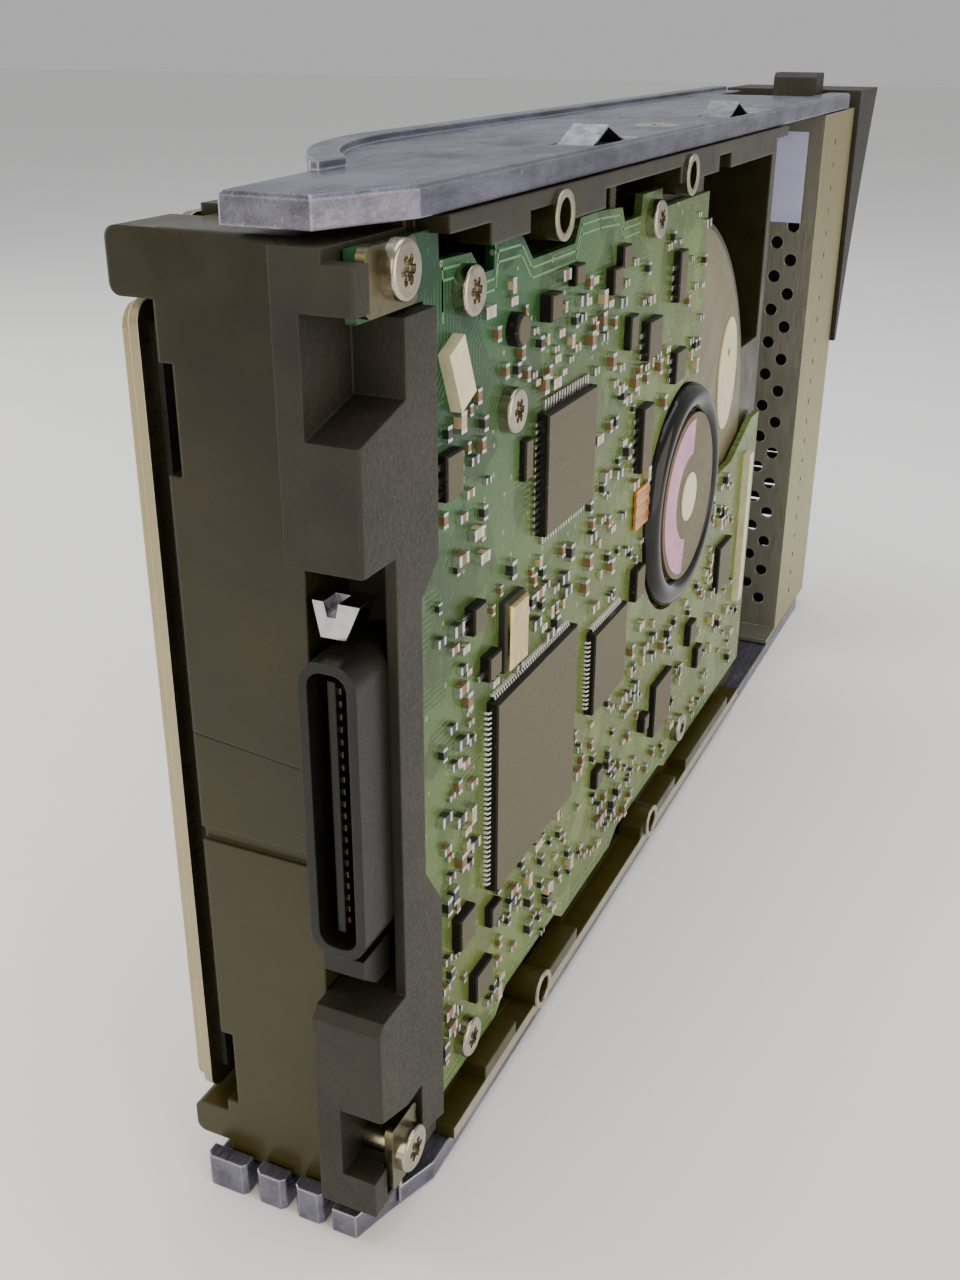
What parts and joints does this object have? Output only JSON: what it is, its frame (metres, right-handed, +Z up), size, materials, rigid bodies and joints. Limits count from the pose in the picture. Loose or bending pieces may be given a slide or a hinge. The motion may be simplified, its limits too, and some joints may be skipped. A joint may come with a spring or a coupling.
{
  "type": "hard disk drive",
  "caption": "Hard disk drive in a hot-swap carrier with cast side rails, circuit board side open, rear backplane connector, perforated shield, front ejector lever and sealed disc pack.",
  "frame": {"origin": "under the middle of the whole part's bounding box, on the lower rail's underside", "axes": "+Y along the drive towards its connector end, +X from the circuit board side to the cover side, +Z up across the drive's width as it stands on its long edge"},
  "size_m": [0.0272, 0.2172, 0.11],
  "materials": {
    "rail_cast": "as-cast, satin",
    "drive_cast": "painted black, semi gloss",
    "cover_steel": "satin",
    "shield_steel": "satin",
    "spring_steel": "bright",
    "screw_steel": "nickel plated",
    "black_plastic": "fine texture",
    "dark_plastic": "satin",
    "grey_plastic": "satin",
    "lens": "clear",
    "contact_metal": "tin plated",
    "plated_tab": "nickel plated",
    "gasket_rubber": "matt",
    "filter_pad": "matt",
    "gloss_black": "gloss",
    "olive_cap": "satin",
    "machined_alloy": "machined",
    "disc_mirror": "polished",
    "copper_coil": "enamelled copper",
    "magnet_nickel": "nickel plated",
    "solder_mask": "semi gloss",
    "chip_resin": "satin",
    "ceramic_body": "satin",
    "gold_lid": "gold plated",
    "cream_part": "satin",
    "flex_film": "semi gloss",
    "paper_label": "matt"
  },
  "bodies": {
    "rotor": {"spindle_hub": "machined_alloy", "platters": "disc_mirror", "disc_spacers": "machined_alloy", "disc_clamp": "machined_alloy", "clamp_screws": "screw_steel"},
    "actuator": {"arm_block": "machined_alloy", "voice_coil": "copper_coil", "head_suspensions": "spring_steel"},
    "lever": {"handle_lever": "black_plastic"},
    "button": {"release_button": "grey_plastic"},
    "carrier_and_drive": {"top_rail": "rail_cast", "bottom_rail": "rail_cast", "ground_springs": "spring_steel", "side_screws": "screw_steel", "shield_cage": "shield_steel", "front_bezel": "black_plastic", "status_lenses": "lens", "lever_pin": "screw_steel", "button_spring": "spring_steel", "rear_bracket": "black_plastic", "connector_shroud": "dark_plastic", "connector_contacts": "contact_metal", "guide_tab": "plated_tab", "key_block": "dark_plastic", "earth_lugs": "plated_tab", "lug_screws": "screw_steel", "base_casting": "drive_cast", "cover_gasket": "gasket_rubber", "cover_screws": "screw_steel", "breather_filter": "filter_pad", "recirculation_filter": "filter_pad", "motor_base": "drive_cast", "motor_ring": "gloss_black", "motor_cap": "olive_cap", "spindle_shaft": "screw_steel", "motor_stator": "copper_coil", "pivot_bearing": "screw_steel", "magnet_plates": "plated_tab", "voice_magnets": "magnet_nickel", "magnet_posts": "screw_steel", "crash_stops": "gasket_rubber", "flex_bracket": "dark_plastic", "circuit_board": "solder_mask", "board_screws": "screw_steel", "insulator_pad": "gasket_rubber", "logic_chips": "chip_resin", "servo_chip": "chip_resin", "small_chips": "chip_resin", "chip_legs": "contact_metal", "oscillator_base": "ceramic_body", "oscillator_lid": "gold_lid", "shock_sensor": "cream_part", "power_parts": "chip_resin", "flex_socket": "cream_part", "motor_flex": "flex_film", "seal_sticker": "cream_part", "shield_label": "paper_label", "top_cover": "cover_steel", "damping_plate": "cover_steel"}
  },
  "joints": [
    {"name": "spindle_spin", "type": "hinge", "parent": "carrier_and_drive", "child": "rotor", "pos_m": [-0.0006, 0.01135, 0.0547], "axis": [1, 0, 0], "continuous": true},
    {"name": "actuator_swing", "type": "hinge", "parent": "carrier_and_drive", "child": "actuator", "pos_m": [-0.0006, 0.05235, 0.0732], "axis": [-1, 0, 0], "range_deg": [0, 21]},
    {"name": "lever_swing", "type": "hinge", "parent": "carrier_and_drive", "child": "lever", "pos_m": [0, -0.07765, 0.0997], "axis": [-1, 0, 0], "range_deg": [0, 35]},
    {"name": "button_press", "type": "slide", "parent": "carrier_and_drive", "child": "button", "axis": [0, 1, 0], "range_m": [0, 0.0012], "stiffness_N_per_m": 300, "springref_m": -0.001, "deforming": ["button_spring"]}
  ]
}
